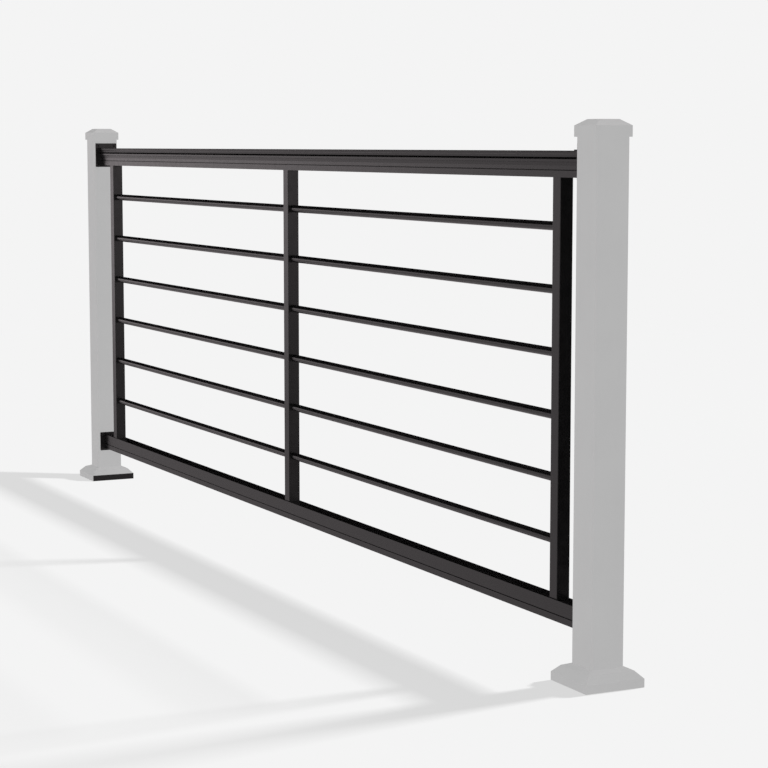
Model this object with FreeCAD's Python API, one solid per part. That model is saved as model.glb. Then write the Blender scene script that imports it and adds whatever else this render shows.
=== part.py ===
import FreeCAD, Part
import os

# Deck railing section: two square posts on bolted base plates carry a horizontal-rod panel.
# Millimetres. X runs along the panel, Y to the back, Z up.
# The origin is the middle of the left post's base plate, on its underside.

# Posts
POST_PITCH = 2574.6
POST_SIDE = 63.5
POST_WALL = 2.5
POST_CORNER = 1.5
POST_TOP = 947.0

# Post caps
CAP_SIDE = 70.5
CAP_BOTTOM = 930.3
CAP_EDGE_TOP = 949.2
CAP_TOP = 959.7
CAP_FLAT_SIDE = 39.0
CAP_WALL = 3.0

# Base plates
PLATE_SIDE = 100.0
PLATE_THICK = 9.5
PLATE_CORNER = 6.0
BOLT_SPACING = 76.0
BOLT_HOLE = 11.0

# Base skirts
SKIRT_SIDE = 116.0
SKIRT_EDGE = 15.0
SKIRT_SHOULDER_SIDE = 91.0
SKIRT_SHOULDER = 27.8
SKIRT_TOP = 33.0
SKIRT_WALL = 3.0

# Rails: both bodies have the same width and one thin V line along each side
RAIL_WIDTH = 31.4
RAIL_WALL = 2.0
RAIL_LINE_UP = 12.6
RAIL_LINE_HIGH = 2.0
RAIL_LINE_DEEP = 0.9

# Top rail: the body flares a little, steps out to a ledge and slopes in to a neck under a clip-on cover
TOP_RAIL_BOTTOM = 861.5
FLARE_BOTTOM = 881.5
FLARE_TOP = 887.2
FLARE_WIDTH = 32.8
LEDGE_BOTTOM = 888.4
LEDGE_WIDTH = 36.4
LEDGE_TOP = 892.7
LEDGE_TOP_WIDTH = 37.2
NECK_WIDTH = 27.0
COVER_BOTTOM = 896.4
COVER_WIDTH = 36.0
COVER_STEP_BOTTOM = 900.7
COVER_STEP_BOTTOM_WIDTH = 37.7
COVER_STEP_TOP = 902.1
COVER_STEP_TOP_WIDTH = 40.1
COVER_TOP = 907.1
COVER_TOP_WIDTH = 42.2
COVER_WALL = 2.0
COVER_ROUND = 1.0

# Bottom rail
BOTTOM_RAIL_BOTTOM = 86.9
BOTTOM_RAIL_TOP = 124.8

# Balusters: the middle one stands a little nearer to the left post
BALUSTER_SIDE = 25.6
BALUSTER_WALL = 2.0
BALUSTER_CORNER = 1.0
MIDDLE_BALUSTER = 1280.5
END_BALUSTER_AWAY = 1165.5

# Rods
ROD_COUNT = 6
ROD_DIAMETER = 15.9
ROD_WALL = 1.6
ROD_FIRST = 226.7
ROD_STEP = 110.05

# Rail brackets: a plate on the post and a hollow spigot inside the rail end
FLANGE_THICK = 3.0
FLANGE_CORNER = 2.0
TOP_FLANGE_WIDTH = 59.0
TOP_FLANGE_BOTTOM = 856.9
TOP_FLANGE_TOP = 920.5
LOW_FLANGE_WIDTH = 55.0
LOW_FLANGE_BOTTOM = 80.6
LOW_FLANGE_TOP = 130.4
SPIGOT_LENGTH = 40.0
SPIGOT_WALL = 2.5
SPIGOT_PLAY = 0.3
TAB_LENGTH = 25.0
TAB_THICK = 2.0

# Derived places
RAIL_START = POST_SIDE / 2 + FLANGE_THICK
RAIL_LENGTH = POST_PITCH - 2 * RAIL_START
RAIL_BORE = RAIL_WIDTH - 2 * RAIL_LINE_DEEP - 2 * RAIL_WALL

# Lengths this close count as equal
TOLERANCE = 1e-6


def centred_box(width, depth, bottom, top):
    """Box on the Z axis from one height to another."""
    corner = FreeCAD.Vector(-width / 2, -depth / 2, bottom)
    return Part.makeBox(width, depth, top - bottom, corner)


def round_uprights(solid, radius):
    """Round the vertical edges of a box."""
    uprights = []
    for edge in solid.Edges:
        start = edge.Vertexes[0].Point
        end = edge.Vertexes[-1].Point
        if abs(start.x - end.x) < TOLERANCE and abs(start.y - end.y) < TOLERANCE:
            uprights.append(edge)
    return solid.makeFillet(radius, uprights)


def square_frustum(low_side, high_side, bottom, top):
    """Square block that tapers from one side length to another."""
    sections = []
    for side, height in ((low_side, bottom), (high_side, top)):
        half = side / 2
        corners = [
            FreeCAD.Vector(-half, -half, height),
            FreeCAD.Vector(half, -half, height),
            FreeCAD.Vector(half, half, height),
            FreeCAD.Vector(-half, half, height),
            FreeCAD.Vector(-half, -half, height),
        ]
        sections.append(Part.makePolygon(corners))
    return Part.makeLoft(sections, True, True)


def extrude_section(points, start, length):
    """Solid along X from (y, z) corner points."""
    corners = [FreeCAD.Vector(start, y, z) for y, z in points]
    corners.append(corners[0])
    face = Part.Face(Part.makePolygon(corners))
    return face.extrude(FreeCAD.Vector(length, 0, 0))


def mirrored(right_side):
    """Closed outline from the +Y half, listed from bottom to top."""
    left_side = [(-y, z) for y, z in reversed(right_side)]
    return right_side + left_side


def square_tube(side, wall, corner, bottom, top):
    """Square tube with rounded outer corners."""
    outside = round_uprights(centred_box(side, side, bottom, top), corner)
    inside = centred_box(side - 2 * wall, side - 2 * wall, bottom, top)
    return outside.cut(inside)


def post():
    return square_tube(POST_SIDE, POST_WALL, POST_CORNER, PLATE_THICK, POST_TOP)


def post_cap():
    edge = centred_box(CAP_SIDE, CAP_SIDE, CAP_BOTTOM, CAP_EDGE_TOP)
    roof = square_frustum(CAP_SIDE, CAP_FLAT_SIDE, CAP_EDGE_TOP, CAP_TOP)
    socket = centred_box(POST_SIDE, POST_SIDE, CAP_BOTTOM, POST_TOP)
    hollow = square_frustum(
        POST_SIDE - 2 * POST_WALL, CAP_FLAT_SIDE - 2 * CAP_WALL, POST_TOP, CAP_TOP - CAP_WALL)
    return edge.fuse(roof).removeSplitter().cut([socket, hollow])


def base_plate():
    plate = round_uprights(centred_box(PLATE_SIDE, PLATE_SIDE, 0, PLATE_THICK), PLATE_CORNER)
    for side_x in (-1, 1):
        for side_y in (-1, 1):
            centre = FreeCAD.Vector(side_x * BOLT_SPACING / 2, side_y * BOLT_SPACING / 2, 0)
            plate = plate.cut(Part.makeCylinder(BOLT_HOLE / 2, PLATE_THICK, centre))
    return plate


def skirt_block(inset):
    """Skirt outline as a solid, drawn in by an inset on the sides and from above."""
    edge = centred_box(SKIRT_SIDE - 2 * inset, SKIRT_SIDE - 2 * inset, 0, SKIRT_EDGE - inset / 2)
    slope = square_frustum(
        SKIRT_SIDE - 2 * inset, SKIRT_SHOULDER_SIDE - 2 * inset,
        SKIRT_EDGE - inset / 2, SKIRT_SHOULDER - inset)
    crown = square_frustum(
        SKIRT_SHOULDER_SIDE - 2 * inset, POST_SIDE,
        SKIRT_SHOULDER - inset, SKIRT_TOP - inset)
    return edge.fuse([slope, crown])


def base_skirt():
    shell = skirt_block(0).cut(skirt_block(SKIRT_WALL))
    post_hole = round_uprights(centred_box(POST_SIDE, POST_SIDE, 0, SKIRT_TOP), POST_CORNER)
    return shell.cut(post_hole).removeSplitter()


def rail_side(bottom, top):
    """One side of a rail body from bottom to top, with its drawn line."""
    half = RAIL_WIDTH / 2
    line = bottom + RAIL_LINE_UP
    return [
        (half, bottom),
        (half, line - RAIL_LINE_HIGH / 2),
        (half - RAIL_LINE_DEEP, line),
        (half, line + RAIL_LINE_HIGH / 2),
        (half, top),
    ]


def top_rail():
    neck_top = COVER_TOP - COVER_WALL
    side = rail_side(TOP_RAIL_BOTTOM, FLARE_BOTTOM)
    side += [
        (FLARE_WIDTH / 2, FLARE_TOP),
        (LEDGE_WIDTH / 2, LEDGE_BOTTOM),
        (LEDGE_TOP_WIDTH / 2, LEDGE_TOP),
        (NECK_WIDTH / 2, COVER_BOTTOM),
        (NECK_WIDTH / 2, neck_top),
    ]
    bore = [
        (RAIL_BORE / 2, TOP_RAIL_BOTTOM + RAIL_WALL),
        (RAIL_BORE / 2, FLARE_TOP),
        (LEDGE_WIDTH / 2 - 2 * RAIL_WALL, LEDGE_BOTTOM),
        (LEDGE_WIDTH / 2 - 2 * RAIL_WALL, LEDGE_TOP - RAIL_WALL),
        (NECK_WIDTH / 2 - RAIL_WALL, LEDGE_TOP - RAIL_WALL),
        (NECK_WIDTH / 2 - RAIL_WALL, neck_top - RAIL_WALL),
    ]
    outside = extrude_section(mirrored(side), RAIL_START, RAIL_LENGTH)
    return outside.cut(extrude_section(mirrored(bore), RAIL_START, RAIL_LENGTH))


def top_rail_cover():
    under = COVER_TOP - COVER_WALL
    half = COVER_WIDTH / 2
    top_half = COVER_TOP_WIDTH / 2
    grip = NECK_WIDTH / 2
    side = [
        (grip, under),
        (grip, COVER_BOTTOM),
        (grip + COVER_WALL, COVER_BOTTOM),
        (grip + COVER_WALL, under),
        (top_half - COVER_WALL, under),
        (half - COVER_WALL, COVER_BOTTOM),
        (half, COVER_BOTTOM),
        (COVER_STEP_BOTTOM_WIDTH / 2, COVER_STEP_BOTTOM),
        (COVER_STEP_TOP_WIDTH / 2, COVER_STEP_TOP),
        (top_half, COVER_TOP),
    ]
    cover = extrude_section(mirrored(side), RAIL_START, RAIL_LENGTH)
    shoulders = []
    for edge in cover.Edges:
        middle = edge.CenterOfMass
        on_side = abs(abs(middle.y) - top_half) < TOLERANCE
        on_top = abs(middle.z - COVER_TOP) < TOLERANCE
        if on_side and on_top:
            shoulders.append(edge)
    return cover.makeFillet(COVER_ROUND, shoulders)


def bottom_rail():
    bore = [
        (RAIL_BORE / 2, BOTTOM_RAIL_BOTTOM + RAIL_WALL),
        (RAIL_BORE / 2, BOTTOM_RAIL_TOP - RAIL_WALL),
    ]
    outline = mirrored(rail_side(BOTTOM_RAIL_BOTTOM, BOTTOM_RAIL_TOP))
    outside = extrude_section(outline, RAIL_START, RAIL_LENGTH)
    return outside.cut(extrude_section(mirrored(bore), RAIL_START, RAIL_LENGTH))


def rod_height(index):
    return ROD_FIRST + index * ROD_STEP


def rod_bar(diameter, start, length, height):
    place = FreeCAD.Vector(start, 0, height)
    return Part.makeCylinder(diameter / 2, length, place, FreeCAD.Vector(1, 0, 0))


def baluster(centre_x, hole_start, hole_length):
    """Upright between the rails, with rod holes over one stretch of X."""
    tube = square_tube(
        BALUSTER_SIDE, BALUSTER_WALL, BALUSTER_CORNER, BOTTOM_RAIL_TOP, TOP_RAIL_BOTTOM)
    tube.translate(FreeCAD.Vector(centre_x, 0, 0))
    holes = []
    for index in range(ROD_COUNT):
        holes.append(rod_bar(ROD_DIAMETER, hole_start, hole_length, rod_height(index)))
    return tube.cut(holes)


def middle_baluster():
    return baluster(MIDDLE_BALUSTER, MIDDLE_BALUSTER - BALUSTER_SIDE, 2 * BALUSTER_SIDE)


def left_end_baluster():
    centre_x = MIDDLE_BALUSTER - END_BALUSTER_AWAY
    return baluster(centre_x, centre_x, BALUSTER_SIDE)


def rod(index):
    """Tube from the outer wall of one end baluster to that of the other."""
    reach = END_BALUSTER_AWAY + BALUSTER_SIDE / 2 - BALUSTER_WALL
    start = MIDDLE_BALUSTER - reach
    bar = rod_bar(ROD_DIAMETER, start, 2 * reach, rod_height(index))
    bore = rod_bar(ROD_DIAMETER - 2 * ROD_WALL, start, 2 * reach, rod_height(index))
    return bar.cut(bore)


def flange(width, bottom, top):
    """Plate against the left post's inner face."""
    corner = FreeCAD.Vector(POST_SIDE / 2, -width / 2, bottom)
    plate = Part.makeBox(FLANGE_THICK, width, top - bottom, corner)
    corners = []
    for edge in plate.Edges:
        if abs(edge.Length - FLANGE_THICK) < TOLERANCE:
            corners.append(edge)
    return plate.makeFillet(FLANGE_CORNER, corners)


def block_on_flange(length, width, bottom, top):
    corner = FreeCAD.Vector(RAIL_START, -width / 2, bottom)
    return Part.makeBox(length, width, top - bottom, corner)


def spigot(bottom, top):
    """Hollow stub that fills the rail's bore between two heights, with a little play."""
    width = RAIL_BORE - 2 * SPIGOT_PLAY
    low = bottom + SPIGOT_PLAY
    high = top - SPIGOT_PLAY
    stub = block_on_flange(SPIGOT_LENGTH, width, low, high)
    hollow = block_on_flange(
        SPIGOT_LENGTH, width - 2 * SPIGOT_WALL, low + SPIGOT_WALL, high - SPIGOT_WALL)
    return stub.cut(hollow)


def top_bracket():
    plate = flange(TOP_FLANGE_WIDTH, TOP_FLANGE_BOTTOM, TOP_FLANGE_TOP)
    stub = spigot(TOP_RAIL_BOTTOM + RAIL_WALL, LEDGE_TOP - RAIL_WALL)
    tab = block_on_flange(TAB_LENGTH, COVER_TOP_WIDTH - 2 * COVER_ROUND, COVER_TOP, COVER_TOP + TAB_THICK)
    return plate.fuse([stub, tab]).removeSplitter()


def low_bracket():
    plate = flange(LOW_FLANGE_WIDTH, LOW_FLANGE_BOTTOM, LOW_FLANGE_TOP)
    stub = spigot(BOTTOM_RAIL_BOTTOM + RAIL_WALL, BOTTOM_RAIL_TOP - RAIL_WALL)
    return plate.fuse(stub).removeSplitter()


def save_left_and_right(name, shape, middle):
    """Write a left piece, and for the right its mirror image about a middle along X."""
    shape.exportStep("parts/" + name.replace("SIDE", "left") + ".step")
    twin = shape.mirror(FreeCAD.Vector(middle, 0, 0), FreeCAD.Vector(1, 0, 0))
    twin.exportStep("parts/" + name.replace("SIDE", "right") + ".step")


os.makedirs("parts", exist_ok=True)
save_left_and_right("SIDE_post", post(), POST_PITCH / 2)
save_left_and_right("SIDE_post_cap", post_cap(), POST_PITCH / 2)
save_left_and_right("SIDE_base_plate", base_plate(), POST_PITCH / 2)
save_left_and_right("SIDE_base_skirt", base_skirt(), POST_PITCH / 2)
save_left_and_right("top_SIDE_bracket", top_bracket(), POST_PITCH / 2)
save_left_and_right("bottom_SIDE_bracket", low_bracket(), POST_PITCH / 2)
save_left_and_right("SIDE_end_baluster", left_end_baluster(), MIDDLE_BALUSTER)
middle_baluster().exportStep("parts/middle_baluster.step")
top_rail().exportStep("parts/top_rail.step")
top_rail_cover().exportStep("parts/top_rail_cover.step")
bottom_rail().exportStep("parts/bottom_rail.step")
for number in range(ROD_COUNT):
    rod(number).exportStep("parts/rod_" + str(number + 1) + ".step")
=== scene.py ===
import math

import bmesh
import bpy
from mathutils import Matrix, Vector


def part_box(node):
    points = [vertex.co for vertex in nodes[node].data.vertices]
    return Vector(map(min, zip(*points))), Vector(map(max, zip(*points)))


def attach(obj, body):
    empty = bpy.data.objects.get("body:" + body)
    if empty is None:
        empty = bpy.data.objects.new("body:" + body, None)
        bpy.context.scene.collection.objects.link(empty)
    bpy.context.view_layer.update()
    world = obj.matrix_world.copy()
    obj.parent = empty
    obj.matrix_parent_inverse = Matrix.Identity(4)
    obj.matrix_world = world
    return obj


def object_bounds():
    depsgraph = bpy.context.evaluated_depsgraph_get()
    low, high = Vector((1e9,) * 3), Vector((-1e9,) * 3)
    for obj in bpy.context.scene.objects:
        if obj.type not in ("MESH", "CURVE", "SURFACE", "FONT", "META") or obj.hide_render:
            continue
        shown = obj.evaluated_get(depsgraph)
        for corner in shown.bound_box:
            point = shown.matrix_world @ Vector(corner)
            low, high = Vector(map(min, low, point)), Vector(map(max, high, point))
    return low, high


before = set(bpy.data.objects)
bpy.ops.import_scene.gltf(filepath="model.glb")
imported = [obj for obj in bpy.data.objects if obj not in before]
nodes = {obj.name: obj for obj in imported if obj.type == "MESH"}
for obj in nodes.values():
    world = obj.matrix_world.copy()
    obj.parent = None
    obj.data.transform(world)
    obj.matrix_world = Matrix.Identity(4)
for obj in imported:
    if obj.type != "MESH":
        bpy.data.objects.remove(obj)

cad_low, cad_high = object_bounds()

# Camera: places in metres, angles in degrees, lens and sensor in millimetres
CAMERA_PLACE = Vector((5.662, -1.9232, 0.9177))
CAMERA_YAW = 26.159
CAMERA_PITCH = -6.332
CAMERA_LENS = 101.22
SENSOR_WIDTH = 36.0
CAMERA_REACH = 200.0

# Colours, linear
WHITE = (1.0, 1.0, 1.0, 1.0)
POST_GREY = (0.470, 0.470, 0.470, 1.0)
POST_GREY_DEEP = (0.452, 0.452, 0.453, 1.0)
BLACK = (0.0030, 0.0029, 0.0030, 1.0)
BLACK_DEEP = (0.0020, 0.0019, 0.0020, 1.0)
BARE_ALUMINIUM = (0.56, 0.57, 0.58, 1.0)
BARE_ALUMINIUM_DEEP = (0.44, 0.45, 0.46, 1.0)
# Black of a card that only reflections see: a painted dark reflection
DARK_REFLECTION_BLACK = (0.002, 0.002, 0.002, 1.0)

# Noise mostly stays between these two values
NOISE_LOW = 0.3
NOISE_HIGH = 0.7

# Powder coat: waves and grain per metre, depths in metres
TONE_WAVES = 7.0
GLOSS_WAVES = 55.0
GLOSS_SPREAD = 0.03
PEEL_STRENGTH = 0.25
PAINT_IOR = 1.5
POST_ROUGHNESS = 0.52
POST_GRAIN = 1500.0
POST_GRAIN_DEEP = 0.00008
RAIL_ROUGHNESS = 0.25
BALUSTER_ROUGHNESS = 0.24
ROD_ROUGHNESS = 0.24
PANEL_GRAIN = 1300.0
PANEL_GRAIN_DEEP = 0.00004
BRACKET_ROUGHNESS = 0.27
BRACKET_GRAIN = 900.0
BRACKET_GRAIN_DEEP = 0.00006
BLACK_EDGE_DEEP = 0.0002

# Mill finish of the base plates, rolled along X
ROLL_WAVES = (6.0, 900.0, 900.0)
ROLL_STRENGTH = 0.3
ROLL_DEEP = 0.00003
PLATE_SMOOTHEST = 0.32
PLATE_ROUGHEST = 0.46

# Bracket screws
FLANGE_THICK = 0.003
SCREW_INSET = 0.0062
SCREW_HEAD_RADIUS = 0.0038
SCREW_HEAD_HIGH = 0.0022
SCREW_EDGE_HIGH = 0.0006
SOCKET_SIDES = 6
SOCKET_RADIUS = 0.0016
SOCKET_RIM_RADIUS = 1.25 * SOCKET_RADIUS
SOCKET_RIM_DROP = 0.0001
SOCKET_DEEP = 0.0013
SCREW_SIDES = 36
DOME_STEPS = 6
SHARP_ANGLE = 40.0

# Floor and backdrop
PALE = 0.905
AMBIENT = 1.035
FLOOR_LIT = 0.97
FLOOR_RADIUS = 60.0
FLOOR_SIDES = 96
FLOOR_DROP = 0.0002

# Shadows on the floor: they pale towards the front and fade out all round
SHADOW_SHARE = 0.268
SHADOW_FAR_SHARE = 0.56
SHADOW_FAR_Y = -0.80
SHADOW_NEAR_Y = -0.25
SHADOW_FADE_START = 2.4
SHADOW_FADE_END = 6.0

# Key light
KEY_PLACE = Vector((2.28, 3.23, 1.40))
KEY_AIM = Vector((1.60, -0.30, 0.10))
KEY_WIDE = 0.40
KEY_TALL = 0.28
KEY_POWER = 3000.0

# Black card that only reflections see: a painted dark reflection in the side of the right end baluster
FLAG_DISTANCE = 0.50
FLAG_WIDE = 0.30
FLAG_TALL = 1.00

# Ways that a mirrored ray can look, by how far it turns to the back left
BACK_LEFT = Vector((-0.707, 0.707, 0.0))
RIGHT_END = -0.20
FRONT_START = 0.10
FRONT_END = 0.20
LEFT_START = 0.46
BACK_START = 0.55
BACK_FULL = 0.80

# Studio that the paint mirrors: levels to each side, and heights as the upward share of a ray
MIRRORED_TINT = (1.07, 0.979, 1.005, 1.0)
GLOW_RIGHT = 1.20
GLOW_FRONT = 0.50
GLOW_LEFT = 1.08
GLOW_START = 0.07
GLOW_END = 0.20
OVERHEAD = 0.95
OVERHEAD_START = 0.58
OVERHEAD_END = 0.80
FLOOR_SEEN_RIGHT = 0.17
FLOOR_SEEN_FRONT = 0.50
FLOOR_SEEN_LEFT = 0.32
FLOOR_SEEN_START = -0.030
FLOOR_SEEN_END = -0.125
FLOOR_SOONER_RIGHT = 0.032
FLOOR_SEEN_STEEP = 0.50
FLOOR_STEEP_START = -0.13
FLOOR_STEEP_END = -0.38


def feed(tree, value, socket):
    """Link another node's output to a socket, or set a plain value on it."""
    if isinstance(value, bpy.types.NodeSocket):
        tree.links.new(value, socket)
    else:
        socket.default_value = value


def object_place(tree):
    """Texture place in the object's own frame, in metres."""
    return tree.nodes.new("ShaderNodeTexCoord").outputs["Object"]


def stretched(tree, place, stretch):
    """Texture place with its own scale along each axis."""
    node = tree.nodes.new("ShaderNodeMapping")
    node.inputs["Scale"].default_value = stretch
    tree.links.new(place, node.inputs["Vector"])
    return node.outputs["Vector"]


def along(tree, axis, vector):
    """One coordinate of a vector."""
    node = tree.nodes.new("ShaderNodeSeparateXYZ")
    tree.links.new(vector, node.inputs["Vector"])
    return node.outputs[axis]


def math_node(tree, operation, *values):
    node = tree.nodes.new("ShaderNodeMath")
    node.operation = operation
    for value, socket in zip(values, node.inputs):
        feed(tree, value, socket)
    return node.outputs["Value"]


def vector_node(tree, operation, output, *values):
    node = tree.nodes.new("ShaderNodeVectorMath")
    node.operation = operation
    for value, socket in zip(values, node.inputs):
        feed(tree, value, socket)
    return node.outputs[output]


def map_range(tree, kind, value, start, end, low, high):
    """Number that goes from low to high while a value goes from start to end."""
    node = tree.nodes.new("ShaderNodeMapRange")
    node.interpolation_type = kind
    node.inputs["From Min"].default_value = start
    node.inputs["From Max"].default_value = end
    node.inputs["To Min"].default_value = low
    node.inputs["To Max"].default_value = high
    tree.links.new(value, node.inputs["Value"])
    return node.outputs["Result"]


def smooth_step(tree, value, start, end, low, high):
    return map_range(tree, "SMOOTHSTEP", value, start, end, low, high)


def spread_noise(tree, value, low, high):
    """Noise value spread over a range of numbers."""
    return map_range(tree, "LINEAR", value, NOISE_LOW, NOISE_HIGH, low, high)


def blend(tree, factor, first, second, kind="FLOAT"):
    """Number or colour between two others."""
    node = tree.nodes.new("ShaderNodeMix")
    node.data_type = kind
    tree.links.new(factor, node.inputs["Factor"])
    feed(tree, first, node.inputs["A"])
    feed(tree, second, node.inputs["B"])
    return node.outputs["Result"]


def noise(tree, place, scale, detail, roughness):
    """Noise over a place, scale in waves per metre."""
    node = tree.nodes.new("ShaderNodeTexNoise")
    node.inputs["Scale"].default_value = scale
    node.inputs["Detail"].default_value = detail
    node.inputs["Roughness"].default_value = roughness
    tree.links.new(place, node.inputs["Vector"])
    return node.outputs["Fac"]


def bump(tree, height, strength, distance):
    node = tree.nodes.new("ShaderNodeBump")
    node.inputs["Strength"].default_value = strength
    node.inputs["Distance"].default_value = distance
    tree.links.new(height, node.inputs["Height"])
    return node.outputs["Normal"]


def new_material(name):
    """Empty node material with a Principled shader on its output."""
    material = bpy.data.materials.new(name)
    material.use_nodes = True
    tree = material.node_tree
    tree.nodes.clear()
    output = tree.nodes.new("ShaderNodeOutputMaterial")
    shader = tree.nodes.new("ShaderNodeBsdfPrincipled")
    tree.links.new(shader.outputs["BSDF"], output.inputs["Surface"])
    return material, tree, shader


def powder_coat(name, colour, deep_colour, roughness, grain, grain_deep):
    """Sprayed powder paint: fine orange peel, with slow changes of tone and gloss."""
    material, tree, shader = new_material(name)
    place = object_place(tree)
    slow = noise(tree, place, TONE_WAVES, detail=4.0, roughness=0.6)
    tone = spread_noise(tree, slow, 0.0, 1.0)
    gloss = noise(tree, place, GLOSS_WAVES, detail=3.0, roughness=0.55)
    sheen = spread_noise(tree, gloss, roughness - GLOSS_SPREAD, roughness + GLOSS_SPREAD)
    peel = noise(tree, place, grain, detail=2.0, roughness=0.5)
    tree.links.new(blend(tree, tone, colour, deep_colour, "RGBA"), shader.inputs["Base Color"])
    tree.links.new(sheen, shader.inputs["Roughness"])
    tree.links.new(bump(tree, peel, PEEL_STRENGTH, grain_deep), shader.inputs["Normal"])
    shader.inputs["IOR"].default_value = PAINT_IOR
    return material, tree, shader


def grey_coat(name):
    """Matt grey paint of the posts and skirts."""
    return powder_coat(name, POST_GREY, POST_GREY_DEEP, POST_ROUGHNESS, POST_GRAIN, POST_GRAIN_DEEP)


def black_coat(name, roughness, grain, grain_deep):
    """Satin black paint of the panel."""
    material, _, _ = powder_coat(name, BLACK, BLACK_DEEP, roughness, grain, grain_deep)
    return material


def assign(names, material):
    for name in names:
        mesh = nodes[name].data
        mesh.materials.clear()
        mesh.materials.append(material)


def nodes_ending(*endings):
    return [name for name in sorted(nodes) if name.endswith(endings)]


def paint_posts():
    material, _, _ = grey_coat("post_powder_coat")
    assign(nodes_ending("post", "post_cap"), material)


def paint_skirts():
    """Grey like the posts; the left skirt has one bare black edge, towards the panel."""
    material, tree, shader = grey_coat("skirt_powder_coat")
    grey = shader.inputs["Base Color"].links[0].from_socket
    edge_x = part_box("left_base_skirt")[1].x
    on_edge = math_node(tree, "COMPARE", along(tree, "X", object_place(tree)), edge_x, BLACK_EDGE_DEEP)
    tree.links.new(blend(tree, on_edge, grey, BLACK, "RGBA"), shader.inputs["Base Color"])
    assign(nodes_ending("base_skirt"), material)


def paint_plates():
    """Mill-finish aluminium with faint rolling lines."""
    material, tree, shader = new_material("plate_mill_finish")
    rolled = stretched(tree, object_place(tree), ROLL_WAVES)
    lines = noise(tree, rolled, scale=1.0, detail=4.0, roughness=0.6)
    tone = spread_noise(tree, lines, 0.0, 1.0)
    sheen = spread_noise(tree, lines, PLATE_SMOOTHEST, PLATE_ROUGHEST)
    colour = blend(tree, tone, BARE_ALUMINIUM, BARE_ALUMINIUM_DEEP, "RGBA")
    tree.links.new(colour, shader.inputs["Base Color"])
    tree.links.new(sheen, shader.inputs["Roughness"])
    tree.links.new(bump(tree, lines, ROLL_STRENGTH, ROLL_DEEP), shader.inputs["Normal"])
    shader.inputs["Metallic"].default_value = 1.0
    assign(nodes_ending("base_plate"), material)


def paint_panel():
    """Black paint for each kind of piece; gives back that of the brackets."""
    rails = black_coat("rail_powder_coat", RAIL_ROUGHNESS, PANEL_GRAIN, PANEL_GRAIN_DEEP)
    assign(["top_rail", "top_rail_cover", "bottom_rail"], rails)
    balusters = black_coat("baluster_powder_coat", BALUSTER_ROUGHNESS, PANEL_GRAIN, PANEL_GRAIN_DEEP)
    assign(nodes_ending("baluster"), balusters)
    rods = black_coat("rod_powder_coat", ROD_ROUGHNESS, PANEL_GRAIN, PANEL_GRAIN_DEEP)
    assign([name for name in sorted(nodes) if name.startswith("rod_")], rods)
    brackets = black_coat("bracket_powder_coat", BRACKET_ROUGHNESS, BRACKET_GRAIN, BRACKET_GRAIN_DEEP)
    assign(nodes_ending("bracket"), brackets)
    return brackets


def add_object(name, mesh, material):
    """Object of one material, made from a bmesh that it uses up."""
    data = bpy.data.meshes.new(name)
    mesh.to_mesh(data)
    mesh.free()
    data.materials.append(material)
    made = bpy.data.objects.new(name, data)
    bpy.context.scene.collection.objects.link(made)
    return made


def head_outline():
    """(radius, height) points of a button head, from its socket's rim down to its outer edge."""
    points = [(SOCKET_RIM_RADIUS, SCREW_HEAD_HIGH)]
    for step in range(1, DOME_STEPS + 1):
        turn = math.pi / 2 * step / DOME_STEPS
        radius = SOCKET_RIM_RADIUS + (SCREW_HEAD_RADIUS - SOCKET_RIM_RADIUS) * math.sin(turn)
        high = SCREW_EDGE_HIGH + (SCREW_HEAD_HIGH - SCREW_EDGE_HIGH) * math.cos(turn)
        points.append((radius, high))
    points.append((SCREW_HEAD_RADIUS, 0.0))
    return points


def ring(mesh, radius, high, corners=0):
    """Loop of vertices about Z: a circle, or a polygon where it has corners."""
    made = []
    for side in range(SCREW_SIDES):
        turn = 2 * math.pi * side / SCREW_SIDES
        reach = radius
        if corners:
            half = math.pi / corners
            reach = radius * math.cos(half) / math.cos((turn + half) % (2 * half) - half)
        made.append(mesh.verts.new((reach * math.cos(turn), reach * math.sin(turn), high)))
    return made


def join_rings(mesh, first, second):
    for side in range(SCREW_SIDES):
        after = (side + 1) % SCREW_SIDES
        mesh.faces.new((first[side], first[after], second[after], second[side]))


def add_screw(mesh, place, outward):
    """Socket button head, standing on a face at a place."""
    one = bmesh.new()
    rings = [
        ring(one, SOCKET_RADIUS, SCREW_HEAD_HIGH - SOCKET_DEEP, SOCKET_SIDES),
        ring(one, SOCKET_RADIUS, SCREW_HEAD_HIGH - SOCKET_RIM_DROP, SOCKET_SIDES),
    ]
    for radius, high in head_outline():
        rings.append(ring(one, radius, high))
    one.faces.new(rings[0])
    for first, second in zip(rings, rings[1:]):
        join_rings(one, second, first)
    one.faces.new(list(reversed(rings[-1])))
    turn = outward.to_track_quat("Z", "Y").to_matrix().to_4x4()
    bmesh.ops.transform(one, matrix=Matrix.Translation(place) @ turn, verts=one.verts)
    bmesh.ops.recalc_face_normals(one, faces=one.faces)
    data = bpy.data.meshes.new("one_screw")
    one.to_mesh(data)
    one.free()
    mesh.from_mesh(data)
    bpy.data.meshes.remove(data)


def add_bracket_screws(bracket, material):
    """Four screws near the corners of a bracket's plate."""
    low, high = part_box(bracket)
    if "left" in bracket:
        outward = Vector((1, 0, 0))
        face_x = low.x + FLANGE_THICK
    else:
        outward = Vector((-1, 0, 0))
        face_x = high.x - FLANGE_THICK
    mesh = bmesh.new()
    for y in (low.y + SCREW_INSET, high.y - SCREW_INSET):
        for z in (low.z + SCREW_INSET, high.z - SCREW_INSET):
            add_screw(mesh, Vector((face_x, y, z)), outward)
    screws = add_object(bracket + "_screws", mesh, material)
    screws.data.shade_smooth()
    screws.data.set_sharp_from_angle(angle=math.radians(SHARP_ANGLE))
    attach(screws, "root")


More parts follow.
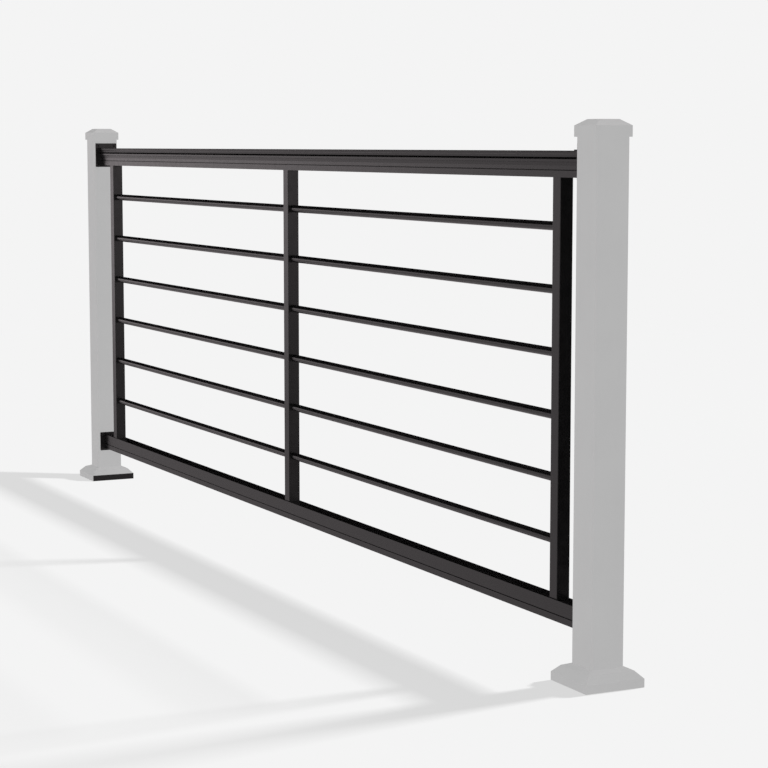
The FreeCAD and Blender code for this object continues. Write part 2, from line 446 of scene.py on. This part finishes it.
def make_camera():
    yaw = math.radians(CAMERA_YAW)
    pitch = math.radians(CAMERA_PITCH)
    look = Vector((
        -math.cos(yaw) * math.cos(pitch),
        math.sin(yaw) * math.cos(pitch),
        math.sin(pitch)))
    data = bpy.data.cameras.new("camera")
    data.lens = CAMERA_LENS
    data.sensor_width = SENSOR_WIDTH
    data.sensor_fit = "HORIZONTAL"
    data.clip_end = CAMERA_REACH
    camera = bpy.data.objects.new("camera", data)
    camera.location = CAMERA_PLACE
    camera.rotation_euler = look.to_track_quat("-Z", "Y").to_euler()
    bpy.context.scene.collection.objects.link(camera)
    bpy.context.scene.camera = camera


def key_on_floor(tree):
    """Light that the key gives the floor at a place, so that the floor's tone can even it out."""
    place = tree.nodes.new("ShaderNodeNewGeometry").outputs["Position"]
    ray = vector_node(tree, "SUBTRACT", "Vector", place, KEY_PLACE)
    forward = vector_node(tree, "DOT_PRODUCT", "Value", ray, (KEY_AIM - KEY_PLACE).normalized())
    reach = vector_node(tree, "LENGTH", "Value", ray)
    # The squared distance and the slant at the lamp and at the floor make a fourth power
    ahead = math_node(tree, "MAXIMUM", forward, 0.0)
    fall_off = math_node(tree, "DIVIDE", ahead, math_node(tree, "POWER", reach, 4.0))
    return math_node(tree, "MULTIPLY", fall_off, KEY_POWER * KEY_PLACE.z / math.pi ** 2)


def floor_material():
    """Pale even floor that keeps the object's soft shadows: part matte and lit, part glow."""
    material = bpy.data.materials.new("pale_floor")
    material.use_nodes = True
    material.cycles.emission_sampling = "NONE"
    tree = material.node_tree
    tree.nodes.clear()
    output = tree.nodes.new("ShaderNodeOutputMaterial")
    seen = tree.nodes.new("ShaderNodeLightPath").outputs["Is Camera Ray"]
    place = object_place(tree)
    reach = vector_node(tree, "LENGTH", "Value", place)
    level = blend(tree, seen, FLOOR_LIT, PALE)
    paler = smooth_step(tree, along(tree, "Y", place), SHADOW_FAR_Y, SHADOW_NEAR_Y, SHADOW_FAR_SHARE, 1.0)
    kept = smooth_step(tree, reach, SHADOW_FADE_START, SHADOW_FADE_END, SHADOW_SHARE, 0.0)
    shaded = math_node(tree, "MULTIPLY", math_node(tree, "MULTIPLY", kept, paler), seen)
    light = math_node(tree, "ADD", key_on_floor(tree), AMBIENT)
    tone = math_node(tree, "DIVIDE", math_node(tree, "MULTIPLY", level, shaded), light)
    even = math_node(tree, "MULTIPLY", level, math_node(tree, "SUBTRACT", 1.0, shaded))
    matte = tree.nodes.new("ShaderNodeBsdfDiffuse")
    tree.links.new(tone, matte.inputs["Color"])
    glow = tree.nodes.new("ShaderNodeEmission")
    tree.links.new(even, glow.inputs["Strength"])
    both = tree.nodes.new("ShaderNodeAddShader")
    tree.links.new(matte.outputs["BSDF"], both.inputs[0])
    tree.links.new(glow.outputs["Emission"], both.inputs[1])
    tree.links.new(both.outputs["Shader"], output.inputs["Surface"])
    return material


def make_floor():
    mesh = bmesh.new()
    bmesh.ops.create_circle(mesh, cap_ends=True, segments=FLOOR_SIDES, radius=FLOOR_RADIUS)
    floor = add_object("floor", mesh, floor_material())
    middle = (cad_low + cad_high) / 2
    floor.location = (middle.x, middle.y, cad_low.z - FLOOR_DROP)
    floor.visible_glossy = False
    return floor


def make_key_light(floor):
    """Softbox behind the panel; it only draws the soft shadows on the floor."""
    data = bpy.data.lights.new("key", "AREA")
    data.shape = "RECTANGLE"
    data.size = KEY_WIDE
    data.size_y = KEY_TALL
    data.energy = KEY_POWER
    key = bpy.data.objects.new("key", data)
    key.location = KEY_PLACE
    key.rotation_euler = (KEY_AIM - KEY_PLACE).to_track_quat("-Z", "Y").to_euler()
    key.visible_camera = False
    key.visible_glossy = False
    bpy.context.scene.collection.objects.link(key)
    lit = bpy.data.collections.new("lit_by_key")
    lit.objects.link(floor)
    key.light_linking.receiver_collection = lit


def make_dark_reflection_card():
    """Black card behind the right post, seen only in the side of the baluster beside it: a painted dark
    reflection standing in for the shaded post.
    """
    low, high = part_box("right_end_baluster")
    face = Vector((high.x, (low.y + high.y) / 2, FLAG_TALL / 2))
    seen_along = face - CAMERA_PLACE
    mirrored = Vector((-seen_along.x, seen_along.y, 0.0)).normalized()
    mesh = bmesh.new()
    bmesh.ops.create_grid(mesh, x_segments=1, y_segments=1, size=0.5)
    bmesh.ops.scale(mesh, vec=(FLAG_WIDE, FLAG_TALL, 1.0), verts=mesh.verts)
    material, _, shader = new_material("painted_dark_reflection_card")
    # Painted dark reflection: a black card that only the paint's reflections see
    shader.inputs["Base Color"].default_value = DARK_REFLECTION_BLACK
    shader.inputs["Specular IOR Level"].default_value = 0.0
    dark_reflection_card = add_object("dark_reflection_card", mesh, material)
    dark_reflection_card.location = face + mirrored * FLAG_DISTANCE
    dark_reflection_card.rotation_euler = (-mirrored).to_track_quat("Z", "Y").to_euler()
    dark_reflection_card.visible_camera = False
    dark_reflection_card.visible_diffuse = False
    dark_reflection_card.visible_shadow = False
    dark_reflection_card.visible_transmission = False


def round_about(tree, turn, right, front, left):
    """Level for mirrored rays that look to the right, to the front and to the left."""
    from_right = smooth_step(tree, turn, RIGHT_END, FRONT_START, right - front, 0.0)
    to_left = smooth_step(tree, turn, FRONT_END, LEFT_START, front, left)
    return math_node(tree, "ADD", from_right, to_left)


def mirrored_studio(tree):
    """What the paint mirrors: floor below, a pale glow low down, dark above it, a softbox overhead."""
    ray = tree.nodes.new("ShaderNodeTexCoord").outputs["Generated"]
    up = along(tree, "Z", ray)
    turn = vector_node(tree, "DOT_PRODUCT", "Value", ray, BACK_LEFT)
    lowered = smooth_step(tree, turn, BACK_START, BACK_FULL, 0.0, GLOW_END)
    low = smooth_step(tree, math_node(tree, "ADD", up, lowered), GLOW_START, GLOW_END, 1.0, 0.0)
    glow = math_node(tree, "MULTIPLY", low, round_about(tree, turn, GLOW_RIGHT, GLOW_FRONT, GLOW_LEFT))
    overhead = smooth_step(tree, up, OVERHEAD_START, OVERHEAD_END, 0.0, OVERHEAD)
    above = math_node(tree, "ADD", glow, overhead)
    far_floor = round_about(tree, turn, FLOOR_SEEN_RIGHT, FLOOR_SEEN_FRONT, FLOOR_SEEN_LEFT)
    steep = smooth_step(tree, up, FLOOR_STEEP_START, FLOOR_STEEP_END, 0.0, 1.0)
    floor = blend(tree, steep, far_floor, FLOOR_SEEN_STEEP)
    sooner = smooth_step(tree, turn, RIGHT_END, FRONT_START, FLOOR_SOONER_RIGHT, 0.0)
    turned_down = math_node(tree, "SUBTRACT", up, sooner)
    below = smooth_step(tree, turned_down, FLOOR_SEEN_START, FLOOR_SEEN_END, 0.0, 1.0)
    return blend(tree, below, above, floor)


def background(tree, colour, strength):
    node = tree.nodes.new("ShaderNodeBackground")
    node.inputs["Color"].default_value = colour
    tree.links.new(strength, node.inputs["Strength"])
    return node.outputs["Background"]


def make_world():
    """Even pale light and backdrop, and for the paint's reflections the mirrored studio."""
    world = bpy.data.worlds.new("studio")
    world.use_nodes = True
    world.cycles.sampling_method = "NONE"
    tree = world.node_tree
    tree.nodes.clear()
    output = tree.nodes.new("ShaderNodeOutputWorld")
    rays = tree.nodes.new("ShaderNodeLightPath")
    level = blend(tree, rays.outputs["Is Diffuse Ray"], PALE, AMBIENT)
    chosen = tree.nodes.new("ShaderNodeMixShader")
    tree.links.new(rays.outputs["Is Glossy Ray"], chosen.inputs["Fac"])
    tree.links.new(background(tree, WHITE, level), chosen.inputs[1])
    tree.links.new(background(tree, MIRRORED_TINT, mirrored_studio(tree)), chosen.inputs[2])
    tree.links.new(chosen.outputs["Shader"], output.inputs["Surface"])
    bpy.context.scene.world = world


def even_out_shade():
    """Pieces don't dim the even light on each other, and the paint doesn't mirror the posts."""
    for name in sorted(nodes):
        nodes[name].visible_diffuse = False
    for name in nodes_ending("post", "post_cap", "base_skirt"):
        nodes[name].visible_glossy = False


make_camera()
paint_posts()
paint_skirts()
paint_plates()
bracket_paint = paint_panel()
for bracket_name in nodes_ending("bracket"):
    add_bracket_screws(bracket_name, bracket_paint)
make_key_light(make_floor())
make_dark_reflection_card()
make_world()
even_out_shade()
bpy.context.scene.view_settings.view_transform = "Standard"
